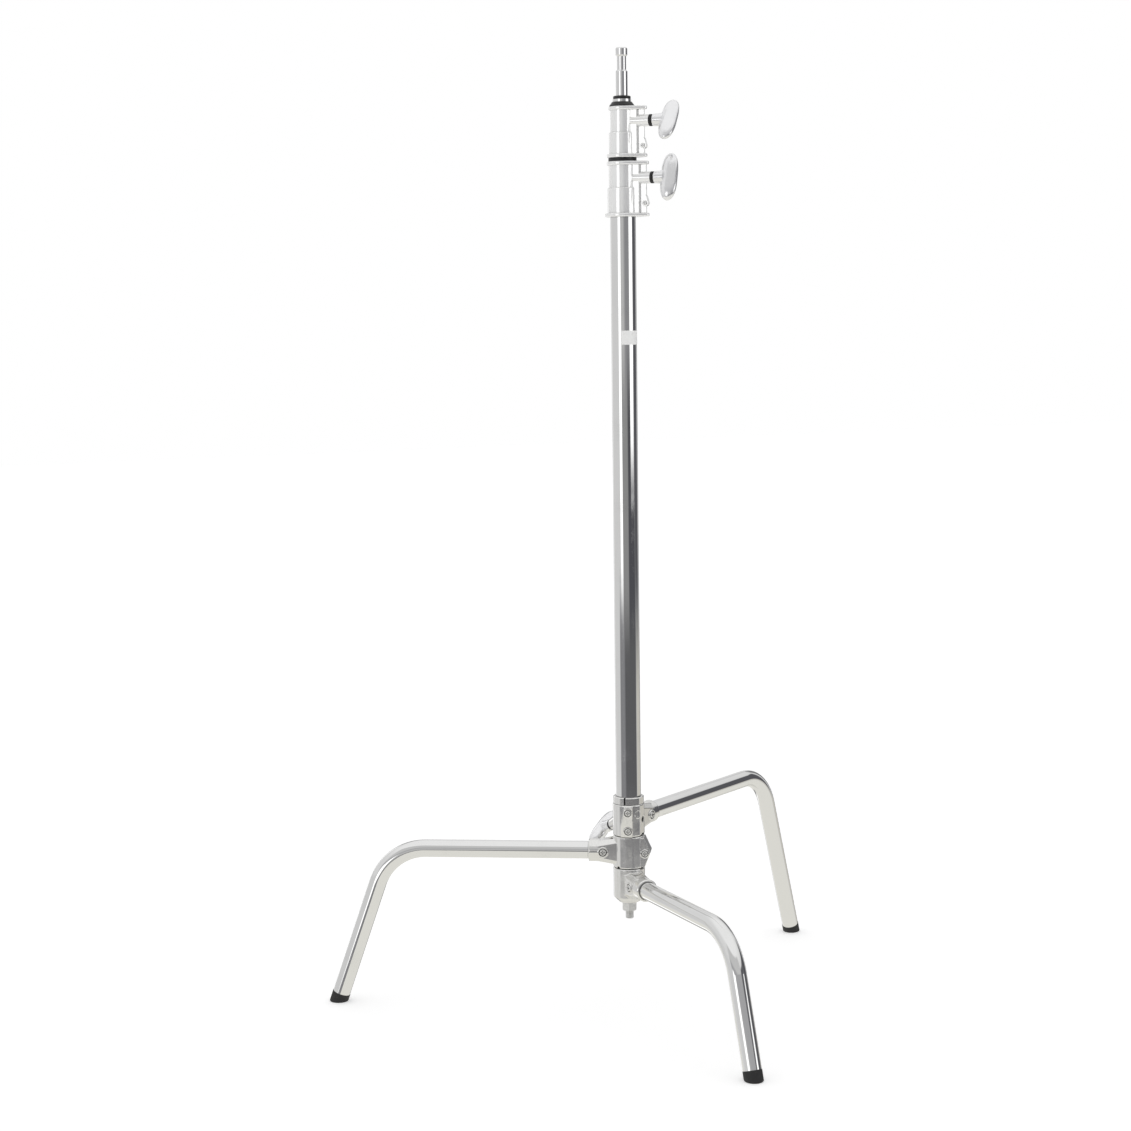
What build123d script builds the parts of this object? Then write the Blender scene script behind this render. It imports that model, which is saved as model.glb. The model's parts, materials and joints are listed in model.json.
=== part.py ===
from build123d import *
import os
from math import cos, radians, sin, sqrt

# Lighting stand with a three-legged turtle base, a column and two risers.
# Millimetres and degrees. Z is up, the floor is Z = 0 and the column axis is X = Y = 0.
# An azimuth is measured counter-clockwise from +X, and a reach outward from the column axis.

# Fits
SLIDE_FIT = 0.05  # radial clearance of parts that turn or slide in each other
SEAT_FIT = 0.05  # radial clearance of parts that are fixed in each other
FREE_GAP = 0.3  # space between faces of separate moving groups
CUT_LEAD = 2.0  # distance inside a wall at which a radial cut through it begins

# Tubes: outer radius and bore radius, then heights
COLUMN_R, COLUMN_BORE = 17.5, 16.0
RISER_2_R, RISER_2_BORE = 15.0, 13.8
RISER_3_R, RISER_3_BORE = 12.5, 11.3
LEG_R, LEG_BORE = 12.5, 11.0
COLUMN_BOTTOM, COLUMN_TOP = 172.0, 1150.0
RISER_2_TOP, RISER_3_TOP = 1225.0, 1270.7

# Legs: run is the height of the level part; corner and foot are reaches of the bend's corner
# and of the foot on the floor; screw and side are the reach and the side of the socket's screw
LEGS = {
    "low": dict(azimuth=-90.0, run=180.0, corner=297.0, foot=357.0, screw=31.0, side=-1),
    "middle": dict(azimuth=150.0, run=226.0, corner=343.0, foot=421.5, screw=36.0, side=1),
    "top": dict(azimuth=30.0, run=272.0, corner=367.0, foot=462.0, screw=36.0, side=-1),
}
LEG_START = 25.0  # reach of the inner end of a leg tube
LEG_BEND_R = 75.0
FOOT_R, FOOT_HEIGHT, FOOT_PLUG, FOOT_ROUND = 12.9, 13.0, 22.0, 1.8
FOOT_BLANK = 32.5  # length of a foot before it is cut level with the floor

# Base brackets: a stack of three castings round the column
HUB_R, HUB_BEVEL = 22.3, 1.2
STACK_GAP = 0.5
BRACKET_HEIGHT = 45.5
NECK_ROOT, NECK_ROOT_SIZE, NECK_ROOT_CUT = 10.0, (31.0, 40.0), 5.5
NECK_TIP, NECK_TIP_SIZE, NECK_TIP_CUT = 44.0, (29.0, 29.0), 6.5
SOCKET_R, SOCKET_START, SOCKET_END, SOCKET_BEVEL = 16.0, 41.0, 57.0, 1.5
LEG_SEAT_FACE = SOCKET_R + 0.8  # distance of the rim of a leg screw's seat from the leg axis

# Bottom fixing of the base
LOW_BASE, LOW_BEVEL = 153.0, 7.5  # underside of the low bracket and the bevel round it
WEB_BOTTOM, WEB_TOP = 166.0, 170.0
SPRING_CUP_R = 11.8
STUD_R, STUD_TIP, STUD_TOP, STUD_BEVEL = 6.0, 128.0, 194.0, 1.2
WASHER_R, WASHER_THICK, WASHER_BEVEL = 11.0, 2.6, 0.4
NUT_FLATS, NUT_HEIGHT, NUT_BEVEL = 19.0, 10.5, 1.2
SPRING_R, SPRING_WIRE, SPRING_PITCH, SPRING_PLAY = 8.8, 2.4, 3.6, 0.1
PLUG_TOP = 196.0

# Retaining ring over the middle bracket
GROOVE_DEPTH, RETAINER_PROUD, RETAINER_HEIGHT, RETAINER_DROP = 0.3, 2.5, 3.0, 3.75
RETAINER_PLAY = 0.05

# Ball detent between the low and the middle bracket
DETENT_AZIMUTH, DETENT_REACH = -64.0, 19.8
DETENT_BORE_R, DETENT_BORE_DEPTH = 1.6, 9.0
BALL_R, BALL_DROP = 1.5, 0.1
DETENT_WIRE, DETENT_COIL_R, DETENT_PITCH = 0.5, 1.1, 1.1

# Middle bracket: the ridge that takes its side screw, and a stop notch
RIDGE_AZIMUTH, RIDGE_REACH, RIDGE_HALF = -31.0, 31.5, 13.5
RIDGE_FOOT, RIDGE_TOP = 1.5, 2.5  # distances of the ridge from the bracket's ends
RIDGE_ROOT, RIDGE_FOOT_REACH = 12.0, 23.3
RIDGE_SCREW_REACH, RIDGE_SCREW_DROP = 23.5, 1.8
SIDE_NOTCH_AZIMUTH, SIDE_NOTCH_SIZE = -159.0, (4.0, 6.0)

# Top bracket: its pad with two screws, an oil hole, a stop notch and the boss of its T-screw
PAD_AZIMUTH, PAD_REACH, PAD_DRAFT, PAD_HALF, PAD_DEPTH = -124.0, 23.0, 3.0, 8.4, 10.0
PAD_FOOT, PAD_SHOULDER, PAD_SHOULDER_X = -2.0, 18.0, -2.5
PAD_SCREW_X, PAD_SCREW_HEIGHTS = 2.0, (9.6, 36.2)
OIL_HOLE_AZIMUTH, OIL_HOLE_R, OIL_HOLE_RISE = -50.8, 4.0, 0.8
STOP_NOTCH_AZIMUTH, STOP_NOTCH_R, STOP_NOTCH_DROP = -52.0, 10.0, 6.0
LEG_LOCK_AZIMUTH, LEG_LOCK_DROP = 100.0, 22.0
LEG_BOSS_ROOT, LEG_BOSS_END, LEG_BOSS_ROOT_R, LEG_BOSS_TIP_R = 12.0, 40.0, 15.0, 8.8

# Sleeve of the sliding leg
SLEEVE_R = 19.0
SLEEVE_FLANGE_R, SLEEVE_FLANGE, SLEEVE_BEVEL = 21.5, 10.0, 1.0
SLIT_AZIMUTH, SLIT_WIDTH = -131.0, 2.6

# Collars: heights of the bottom, of the step in the outside and of the top, outer radii from the
# bottom up, reach of the ears, heights of the clamp screw's lug and of the T-screw, reach of its boss
LOWER_COLLAR = dict(
    bottom=1112.0,
    step=1151.5,
    top=1187.0,
    radii=(24.3, 20.6, 18.6, 21.4),
    ear=38.5,
    lug=1130.0,
    screw=1164.3,
    boss=42.0,
)
UPPER_COLLAR = dict(
    bottom=1192.0,
    step=1226.0,
    top=1261.0,
    radii=(21.0, 18.0, 16.0, 18.3),
    ear=36.2,
    lug=1207.5,
    screw=1241.0,
    boss=40.5,
)
COLLAR_AZIMUTH = -48.0
COLLAR_FLANGE, FLANGE_ROUND, STEP_BEVEL = 5.0, 1.6, 1.0
EAR_TIP_R = 4.5
RIB_ROOT = 8.0  # reach inside the casting where its ribs and its boss begin
RIB_END = 1.0  # distance of the ribs' ends inside the faces of the flanges
SPINE_HALF, SPINE_PROUD = 6.5, 5.3
RAIL_HALF, RAIL_PROUD = 3.0, 1.0
WEB_HALF, WEB_SHORT = 1.8, 3.7
LUG_R, LUG_TOP_R, LUG_HALF, LUG_TOP_RISE, LUG_INSET = 4.6, 2.2, 3.5, 8.5, 5.0

# Collar bushings: depth of the liner, radius of the lower head, and the outline of the upper head
# as radii and heights over the collar
LINER_DEPTH = 10.0
LOWER_HEAD_R = 19.3
UPPER_HEAD = ((17.2, 0.0), (17.2, 1.2), (13.6, 6.0))

# T-screws: reaches along the screw axis, and the turn of each wing from upright
BOSS_R = 8.0
BUSH_R, BUSH_LENGTH = 8.2, 3.5
LOCK_SCREW_R, LOCK_SCREW_BEVEL = 5.0, 0.6
SHOE_R, SHOE_LENGTH = 4.6, 4.0
LEG_SHOE_START = 24.0
LOWER_LEAN, UPPER_LEAN, LEG_LEAN = 16.0, 36.0, 127.0
HUB_GAP, HUB_START_R, HUB_END, HUB_END_R, HUB_WALL = 1.5, 8.2, 61.0, 9.0, 1.5
WING_CENTRE, WING_HALF = 68.0, 33.3
WING_DEEP, WING_THICK, LEG_WING_THICK = 12.0, 7.4, 10.0  # half sizes along and across the screw axis
WING_STEPS, WING_POWER, WING_TIP_SHARE = 6, 3.0, 0.14

# Guide bushes at the feet of the risers
GUIDE_FLOOR, GUIDE_HEIGHT, GUIDE_LIP, GUIDE_REST = 3.0, 25.0, 3.5, 1.0

# Pin on the top riser
PIN_R, GROOVE_R, GROOVE_SLOPE, PIN_BEVEL = 8.0, 6.2, 2.0, 1.5
PIN_PLUG, PIN_NECK_R, PIN_SHOULDER_GAP = 45.0, 7.0, 0.3
PIN_BASE, GROOVE_BOTTOM, GROOVE_TOP, PIN_TOP = 1275.0, 1308.0, 1330.0, 1340.0
PIN_RING_R, PIN_RING_BEVEL = 12.0, 0.8

# Blank label band on the column
LABEL_BOTTOM, LABEL_TOP, LABEL_THICK = 938.0, 957.3, 0.2
LABEL_AZIMUTH, LABEL_HALF_ANGLE = -72.0, 56.0

# Cross-recess screws: head radius and height, shank radius, overall length, and the seat that
# takes them: rim radius and height, counterbore radius and depth, shank hole radius and depth
LEG_SCREW = dict(head_r=4.7, head=2.5, shank_r=2.4, length=7.9)
LEG_SEAT = dict(rim_r=6.9, rim=6.0, seat_r=5.6, depth=2.3, hole_r=2.6, hole=8.0)
RIDGE_SCREW = dict(head_r=4.2, head=2.2, shank_r=2.1, length=6.0)
RIDGE_SEAT = dict(rim_r=5.6, rim=1.0, seat_r=4.8, depth=2.2, hole_r=2.3, hole=6.5)
PAD_SCREW = dict(head_r=4.3, head=2.2, shank_r=2.0, length=3.8)
PAD_SEAT = dict(rim_r=5.8, rim=0.3, seat_r=5.0, depth=2.2, hole_r=2.2, hole=4.0)
LUG_SCREW = dict(head_r=3.2, head=1.6, shank_r=1.7, length=2 * LUG_HALF + 2.0)
RECESS_LONG, RECESS_WIDE = 1.25, 0.28  # arms of the cross recess, as shares of the head radius
RECESS_DEEP, HEAD_ROUND = 0.6, 0.45  # recess depth and head rounding, as shares of the head height
HEAD_PROUD = 0.3  # height of a screw head over the rim of its seat
LUG_HEAD_PROUD = 1.6

# Derived heights and radii
LOW_TOP = LEGS["low"]["run"] + BRACKET_HEIGHT / 2
MIDDLE_BOTTOM = LOW_TOP + STACK_GAP
MIDDLE_TOP = MIDDLE_BOTTOM + BRACKET_HEIGHT
MIDDLE_RUN = LEGS["middle"]["run"]
TOP_BOTTOM = MIDDLE_TOP + STACK_GAP
TOP_TOP = TOP_BOTTOM + BRACKET_HEIGHT
TOP_RUN = LEGS["top"]["run"]
RETAINER_BOTTOM = MIDDLE_TOP - RETAINER_DROP
NUT_TOP = LOW_BASE - WASHER_THICK
LOCK_HOLE_R = LOCK_SCREW_R + SLIDE_FIT

os.makedirs("parts", exist_ok=True)


def save(piece, name):
    """Label a finished piece and write it to its own file."""
    piece.part.label = name
    export_step(piece.part, f"parts/{name}.step")


# Planes


def radial_plane(azimuth, height, reach=0.0, drop=0.0):
    """Plane across an outward axis: z points outward, x along the tangent and y up."""
    turn, tilt = radians(azimuth), radians(drop)
    outward = Vector(cos(turn) * cos(tilt), sin(turn) * cos(tilt), -sin(tilt))
    origin = Vector(0, 0, height) + outward * reach
    return Plane(origin, x_dir=(-sin(turn), cos(turn), 0), z_dir=outward)


def upright_plane(azimuth):
    """Vertical plane through the column axis: x points outward and y points up."""
    turn = radians(azimuth)
    return Plane((0, 0, 0), x_dir=(cos(turn), sin(turn), 0), z_dir=(sin(turn), -cos(turn), 0))


def tangent_plane(azimuth, height, reach, side):
    """Plane across the tangent at a reach: z points along the tangent, side +1 or -1."""
    turn = radians(azimuth)
    outward = Vector(cos(turn), sin(turn), 0)
    tangent = Vector(-sin(turn), cos(turn), 0) * side
    return Plane(Vector(0, 0, height) + outward * reach, x_dir=outward, z_dir=tangent)


# Shapes used more than once


def ring_part(outer, inner, bottom, top, bevel=0.0):
    """Plain ring round the column axis, with its outer edges bevelled."""
    with BuildPart() as ring:
        with BuildSketch(Plane.XY.offset(bottom)):
            Circle(outer)
        extrude(amount=top - bottom)
        if bevel:
            chamfer(ring.edges().filter_by(GeomType.CIRCLE), bevel)
        with BuildSketch(Plane.XY.offset(bottom)):
            Circle(inner)
        extrude(amount=top - bottom, mode=Mode.SUBTRACT)
    return ring


def bracket_blank(leg, bottom, top, bottom_bevel=HUB_BEVEL):
    """Bracket casting without its column bore: hub, faceted neck and round leg socket."""
    azimuth, run = leg["azimuth"], leg["run"]
    outward = Axis((0, 0, run), radial_plane(azimuth, run).z_dir)
    with BuildPart() as blank:
        with BuildSketch(Plane.XY.offset(bottom)):
            Circle(HUB_R)
        extrude(amount=top - bottom)
        rims = blank.edges().filter_by(GeomType.CIRCLE).sort_by(Axis.Z)
        chamfer(rims[-1], HUB_BEVEL)
        chamfer(rims[0], bottom_bevel)
        with BuildSketch(radial_plane(azimuth, run, NECK_ROOT)) as root:
            Rectangle(*NECK_ROOT_SIZE)
            chamfer(root.vertices(), NECK_ROOT_CUT)
        with BuildSketch(radial_plane(azimuth, run, NECK_TIP)) as tip:
            Rectangle(*NECK_TIP_SIZE)
            chamfer(tip.vertices(), NECK_TIP_CUT)
        loft()
        with BuildSketch(radial_plane(azimuth, run, SOCKET_START)):
            Circle(SOCKET_R)
        extrude(amount=SOCKET_END - SOCKET_START)
        chamfer(blank.faces().sort_by(outward)[-1].edges(), SOCKET_BEVEL)
        seat = tangent_plane(azimuth, run, leg["screw"], leg["side"]).offset(LEG_SEAT_FACE)
        screw_seat(seat, **LEG_SEAT)
        with BuildSketch(radial_plane(azimuth, run, LEG_START - FREE_GAP)):
            Circle(LEG_R + SEAT_FIT)
        extrude(amount=SOCKET_END, mode=Mode.SUBTRACT)
    return blank.part


def screw_seat(plane, rim_r, rim, seat_r, depth, hole_r, hole):
    """Raised rim with a counterbored seat and a shank hole, in the open part."""
    with BuildSketch(plane.offset(-rim)) as rim_sketch:
        Circle(rim_r)
    extrude(rim_sketch.sketch, amount=rim)
    with BuildSketch(plane) as seat_sketch:
        Circle(seat_r)
    extrude(seat_sketch.sketch, amount=-depth, mode=Mode.SUBTRACT)
    with BuildSketch(plane) as hole_sketch:
        Circle(hole_r)
    extrude(hole_sketch.sketch, amount=-hole, mode=Mode.SUBTRACT)


def cross_screw(plane, head_r, head, shank_r, length):
    """Pan-head screw, head outward, with a cross recess. The plane is the head's top."""
    outward = Axis(plane.origin, plane.z_dir)
    with BuildPart() as screw:
        with BuildSketch(plane.offset(-head)):
            Circle(head_r)
        extrude(amount=head)
        rims = screw.edges().filter_by(GeomType.CIRCLE).sort_by(outward)
        fillet(rims[-1:], head * HEAD_ROUND)
        with BuildSketch(plane.offset(-head)):
            Circle(shank_r)
        extrude(amount=head - length)
        with BuildSketch(plane):
            Rectangle(head_r * RECESS_LONG, head_r * RECESS_WIDE)
            Rectangle(head_r * RECESS_WIDE, head_r * RECESS_LONG)
        extrude(amount=-head * RECESS_DEEP, mode=Mode.SUBTRACT)
    return screw.part


def coil_spring(radius, wire, pitch, low, high, x=0.0, y=0.0):
    """Upright helical spring between the centres of its end turns."""
    with BuildPart() as spring:
        with BuildLine() as coil:
            Helix(pitch=pitch, height=high - low, radius=radius, center=(x, y, low))
        with BuildSketch(Plane(coil.line @ 0, z_dir=coil.line % 0)):
            Circle(wire / 2)
        sweep(path=coil.line, is_frenet=True)
    return spring


# Column, its plug and the fixing under the low bracket

with BuildPart() as column_tube:
    with BuildSketch(Plane.XY.offset(COLUMN_BOTTOM)):
        Circle(COLUMN_R)
        Circle(COLUMN_BORE, mode=Mode.SUBTRACT)
    extrude(amount=COLUMN_TOP - COLUMN_BOTTOM)
    with BuildSketch(Plane.XY.offset(RETAINER_BOTTOM)):
        Circle(HUB_R)
        Circle(COLUMN_R - GROOVE_DEPTH, mode=Mode.SUBTRACT)
    extrude(amount=RETAINER_HEIGHT, mode=Mode.SUBTRACT)
save(column_tube, "column_tube")

column_plug = ring_part(COLUMN_BORE - SEAT_FIT, STUD_R + SEAT_FIT, COLUMN_BOTTOM, PLUG_TOP)
save(column_plug, "column_plug")

with BuildPart() as base_stud:
    with BuildSketch(Plane.XY.offset(STUD_TIP)):
        Circle(STUD_R)
    extrude(amount=STUD_TOP - STUD_TIP)
    chamfer(base_stud.edges().filter_by(GeomType.CIRCLE), STUD_BEVEL)
save(base_stud, "base_stud")

base_washer = ring_part(WASHER_R, STUD_R + SEAT_FIT, NUT_TOP, LOW_BASE, WASHER_BEVEL)
save(base_washer, "base_washer")

with BuildPart() as base_nut:
    nut_bottom = NUT_TOP - NUT_HEIGHT
    nut_corner_r = NUT_FLATS / sqrt(3)
    with BuildSketch(Plane.XY.offset(nut_bottom)):
        RegularPolygon(NUT_FLATS / 2, 6, major_radius=False)
    extrude(amount=NUT_HEIGHT)
    with BuildSketch(Plane.XZ):
        with BuildLine():
            Polyline(
                (0, nut_bottom),
                (NUT_FLATS / 2, nut_bottom),
                (nut_corner_r, nut_bottom + NUT_BEVEL),
                (nut_corner_r, NUT_TOP),
                (0, NUT_TOP),
                close=True,
            )
        make_face()
    revolve(axis=Axis.Z, mode=Mode.INTERSECT)
    with BuildSketch(Plane.XY.offset(nut_bottom)):
        Circle(STUD_R + SEAT_FIT)
    extrude(amount=NUT_HEIGHT, mode=Mode.SUBTRACT)
save(base_nut, "base_nut")

SPRING_END_GAP = SPRING_WIRE / 2 + SPRING_PLAY
base_spring = coil_spring(
    SPRING_R, SPRING_WIRE, SPRING_PITCH, LOW_BASE + SPRING_END_GAP, WEB_BOTTOM - SPRING_END_GAP
)
save(base_spring, "base_spring")

retaining_ring = ring_part(
    COLUMN_R + RETAINER_PROUD,
    COLUMN_R - GROOVE_DEPTH + SEAT_FIT,
    RETAINER_BOTTOM + RETAINER_PLAY,
    RETAINER_BOTTOM + RETAINER_HEIGHT - RETAINER_PLAY,
)
save(retaining_ring, "retaining_ring")

# Low bracket, fixed to the column

with BuildPart() as low_bracket:
    add(bracket_blank(LEGS["low"], LOW_BASE, LOW_TOP, bottom_bevel=LOW_BEVEL))
    with BuildSketch(Plane.XY.offset(WEB_TOP)):
        Circle(COLUMN_R + SEAT_FIT)
    extrude(amount=LOW_TOP - WEB_TOP, mode=Mode.SUBTRACT)
    with BuildSketch(Plane.XY.offset(LOW_BASE)):
        Circle(SPRING_CUP_R)
    extrude(amount=WEB_BOTTOM - LOW_BASE, mode=Mode.SUBTRACT)
    with BuildSketch(Plane.XY.offset(LOW_BASE)):
        Circle(STUD_R + FREE_GAP)
    extrude(amount=WEB_TOP - LOW_BASE, mode=Mode.SUBTRACT)
    with BuildSketch(Plane.XY.offset(LOW_TOP)):
        with PolarLocations(DETENT_REACH, 1, start_angle=DETENT_AZIMUTH):
            Circle(DETENT_BORE_R)
    extrude(amount=-DETENT_BORE_DEPTH, mode=Mode.SUBTRACT)
save(low_bracket, "low_bracket")

# Middle bracket, which turns on the column under the retaining ring

ridge_seat = tangent_plane(RIDGE_AZIMUTH, MIDDLE_RUN - RIDGE_SCREW_DROP, RIDGE_SCREW_REACH, -1)
ridge_seat = ridge_seat.offset(RIDGE_HALF + RIDGE_SEAT["rim"])
with BuildPart() as middle_bracket:
    add(bracket_blank(LEGS["middle"], MIDDLE_BOTTOM, MIDDLE_TOP))
    with BuildSketch(upright_plane(RIDGE_AZIMUTH)):
        with BuildLine():
            Polyline(
                (RIDGE_ROOT, MIDDLE_BOTTOM + RIDGE_FOOT),
                (RIDGE_FOOT_REACH, MIDDLE_BOTTOM + RIDGE_FOOT),
                (RIDGE_REACH, MIDDLE_RUN),
                (HUB_R, MIDDLE_TOP - RIDGE_TOP),
                (RIDGE_ROOT, MIDDLE_TOP - RIDGE_TOP),
                close=True,
            )
        make_face()
    extrude(amount=RIDGE_HALF, both=True)
    screw_seat(ridge_seat, **RIDGE_SEAT)
    with BuildSketch(Plane.XY.offset(MIDDLE_BOTTOM)):
        Circle(COLUMN_R + SLIDE_FIT)
    extrude(amount=BRACKET_HEIGHT, mode=Mode.SUBTRACT)
    with BuildSketch(Plane.XY.offset(RETAINER_BOTTOM - FREE_GAP)):
        Circle(COLUMN_R + RETAINER_PROUD + FREE_GAP)
    extrude(amount=RETAINER_DROP + 2 * FREE_GAP, mode=Mode.SUBTRACT)
    with BuildSketch(radial_plane(SIDE_NOTCH_AZIMUTH, MIDDLE_BOTTOM, COLUMN_R)):
        Rectangle(*SIDE_NOTCH_SIZE)
    extrude(amount=HUB_R, mode=Mode.SUBTRACT)
save(middle_bracket, "middle_bracket")

# Top bracket of the sliding leg, which turns on its sleeve

pad_plane = radial_plane(PAD_AZIMUTH, TOP_BOTTOM, PAD_REACH, PAD_DRAFT)


def pad_screw_planes():
    """Faces of the seats of the two screws on the pad of the top bracket."""
    origins = [pad_plane.from_local_coords(Vector(PAD_SCREW_X, up, 0)) for up in PAD_SCREW_HEIGHTS]
    return [Plane(origin, x_dir=pad_plane.x_dir, z_dir=pad_plane.z_dir) for origin in origins]


with BuildPart() as top_bracket:
    add(bracket_blank(LEGS["top"], TOP_BOTTOM, TOP_TOP))
    with BuildSketch(pad_plane):
        with BuildLine():
            Polyline(
                (-PAD_HALF, PAD_FOOT),
                (PAD_HALF, PAD_FOOT),
                (PAD_HALF, BRACKET_HEIGHT - HUB_BEVEL),
                (PAD_SHOULDER_X, BRACKET_HEIGHT - HUB_BEVEL),
                (-PAD_HALF, PAD_SHOULDER),
                close=True,
            )
        make_face()
    extrude(amount=-PAD_DEPTH)
    with BuildSketch(radial_plane(LEG_LOCK_AZIMUTH, TOP_RUN, LEG_BOSS_ROOT, LEG_LOCK_DROP)):
        Circle(LEG_BOSS_ROOT_R)
    with BuildSketch(radial_plane(LEG_LOCK_AZIMUTH, TOP_RUN, LEG_BOSS_END, LEG_LOCK_DROP)):
        Circle(LEG_BOSS_TIP_R)
    loft()
    split(bisect_by=Plane.XY.offset(TOP_BOTTOM), keep=Keep.TOP)
    with BuildSketch(radial_plane(LEG_LOCK_AZIMUTH, TOP_RUN, LEG_BOSS_ROOT, LEG_LOCK_DROP)):
        Circle(LOCK_HOLE_R)
    extrude(amount=LEG_BOSS_END, mode=Mode.SUBTRACT)
    for plane in pad_screw_planes():
        screw_seat(plane.offset(PAD_SEAT["rim"]), **PAD_SEAT)
    with BuildSketch(Plane.XY.offset(TOP_BOTTOM)):
        Circle(SLEEVE_R + SLIDE_FIT)
    extrude(amount=BRACKET_HEIGHT, mode=Mode.SUBTRACT)
    with BuildSketch(radial_plane(STOP_NOTCH_AZIMUTH, TOP_BOTTOM - STOP_NOTCH_DROP, SLEEVE_R - CUT_LEAD)):
        Circle(STOP_NOTCH_R)
    extrude(amount=HUB_R, mode=Mode.SUBTRACT)
    with BuildSketch(radial_plane(OIL_HOLE_AZIMUTH, TOP_RUN + OIL_HOLE_RISE, SLEEVE_R - CUT_LEAD)):
        Circle(OIL_HOLE_R)
    extrude(amount=HUB_R, mode=Mode.SUBTRACT)
save(top_bracket, "top_bracket")

with BuildPart() as top_sleeve:
    with BuildSketch(Plane.XY.offset(TOP_BOTTOM + FREE_GAP)):
        Circle(SLEEVE_R)
    extrude(amount=BRACKET_HEIGHT)
    with BuildSketch(Plane.XY.offset(TOP_TOP + FREE_GAP)):
        Circle(SLEEVE_FLANGE_R)
    extrude(amount=SLEEVE_FLANGE)
    chamfer(top_sleeve.edges().filter_by(GeomType.CIRCLE).sort_by(Axis.Z)[-1:], SLEEVE_BEVEL)
    with BuildSketch(Plane.XY.offset(TOP_BOTTOM)):
        Circle(COLUMN_R + SLIDE_FIT)
    extrude(amount=BRACKET_HEIGHT + 2 * SLEEVE_FLANGE, mode=Mode.SUBTRACT)
    with BuildSketch(radial_plane(SLIT_AZIMUTH, TOP_RUN, COLUMN_R - CUT_LEAD)):
        Rectangle(SLIT_WIDTH, 2 * BRACKET_HEIGHT)
    extrude(amount=HUB_R, mode=Mode.SUBTRACT)
save(top_sleeve, "top_sleeve")

# Screws of the base

for name, leg in LEGS.items():
    seat_plane = tangent_plane(leg["azimuth"], leg["run"], leg["screw"], leg["side"])
    with BuildPart() as socket_screw:
        add(cross_screw(seat_plane.offset(LEG_SEAT_FACE + HEAD_PROUD), **LEG_SCREW))
    save(socket_screw, f"{name}_leg_screw")

with BuildPart() as middle_bracket_screw:
    add(cross_screw(ridge_seat.offset(HEAD_PROUD), **RIDGE_SCREW))
save(middle_bracket_screw, "middle_bracket_screw")

with BuildPart() as pad_screws:
    for plane in pad_screw_planes():
        add(cross_screw(plane.offset(PAD_SEAT["rim"] + HEAD_PROUD), **PAD_SCREW))
save(pad_screws, "pad_screws")

# Detent between the low and the middle bracket

DETENT_X = DETENT_REACH * cos(radians(DETENT_AZIMUTH))
DETENT_Y = DETENT_REACH * sin(radians(DETENT_AZIMUTH))
BALL_Z = LOW_TOP - BALL_R - BALL_DROP
with BuildPart() as detent_ball:
    with Locations((DETENT_X, DETENT_Y, BALL_Z)):
        Sphere(BALL_R)
save(detent_ball, "detent_ball")

detent_spring = coil_spring(
    DETENT_COIL_R,
    DETENT_WIRE,
    DETENT_PITCH,
    LOW_TOP - DETENT_BORE_DEPTH + DETENT_WIRE,
    BALL_Z - BALL_R - DETENT_WIRE,
    DETENT_X,
    DETENT_Y,
)
save(detent_spring, "detent_spring")

# Legs and feet

for name, leg in LEGS.items():
    azimuth, run, corner, foot = leg["azimuth"], leg["run"], leg["corner"], leg["foot"]
    upright = upright_plane(azimuth)
    end_reach = foot - (foot - corner) * FOOT_HEIGHT / run
    end_point = upright.from_local_coords(Vector(end_reach, FOOT_HEIGHT, 0))
    floor_point = upright.from_local_coords(Vector(foot, 0, 0))
    end_plane = Plane(end_point, z_dir=(floor_point - end_point).normalized())

    with BuildPart() as leg_tube:
        with BuildLine(upright) as route:
            FilletPolyline((LEG_START, run), (corner, run), (end_reach, FOOT_HEIGHT), radius=LEG_BEND_R)
        with BuildSketch(radial_plane(azimuth, run, LEG_START)):
            Circle(LEG_R)
            Circle(LEG_BORE, mode=Mode.SUBTRACT)
        sweep(path=route.line)
        with BuildSketch(tangent_plane(azimuth, run, leg["screw"], leg["side"])):
            Circle(LEG_SEAT["hole_r"])
        extrude(amount=SOCKET_R, mode=Mode.SUBTRACT)
    save(leg_tube, f"{name}_leg_tube")

    with BuildPart() as leg_foot:
        with BuildSketch(end_plane):
            Circle(FOOT_R)
        extrude(amount=FOOT_BLANK)
        split(bisect_by=Plane.XY, keep=Keep.TOP)
        fillet(leg_foot.faces().sort_by(Axis.Z)[0].edges(), FOOT_ROUND)
        with BuildSketch(end_plane):
            Circle(LEG_BORE - SEAT_FIT)
        extrude(amount=-FOOT_PLUG)
    save(leg_foot, f"{name}_foot")

# Risers and their guide bushes


def guide_bush(tube_r, bore_r, bottom):
    """Cup with an open floor that carries the foot of a riser inside the next tube."""
    with BuildPart() as bush:
        with BuildSketch(Plane.XY.offset(bottom)):
            Circle(bore_r - SLIDE_FIT)
        extrude(amount=GUIDE_HEIGHT)
        with BuildSketch(Plane.XY.offset(bottom + GUIDE_FLOOR)):
            Circle(tube_r + SLIDE_FIT)
        extrude(amount=GUIDE_HEIGHT, mode=Mode.SUBTRACT)
        with BuildSketch(Plane.XY.offset(bottom)):
            Circle(tube_r - GUIDE_LIP)
        extrude(amount=GUIDE_HEIGHT, mode=Mode.SUBTRACT)
    return bush


GUIDE_2_BOTTOM = PLUG_TOP + GUIDE_REST
GUIDE_3_BOTTOM = GUIDE_2_BOTTOM + 2 * GUIDE_FLOOR
save(guide_bush(RISER_2_R, COLUMN_BORE, GUIDE_2_BOTTOM), "riser_2_guide")
save(guide_bush(RISER_3_R, RISER_2_BORE, GUIDE_3_BOTTOM), "riser_3_guide")

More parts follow.
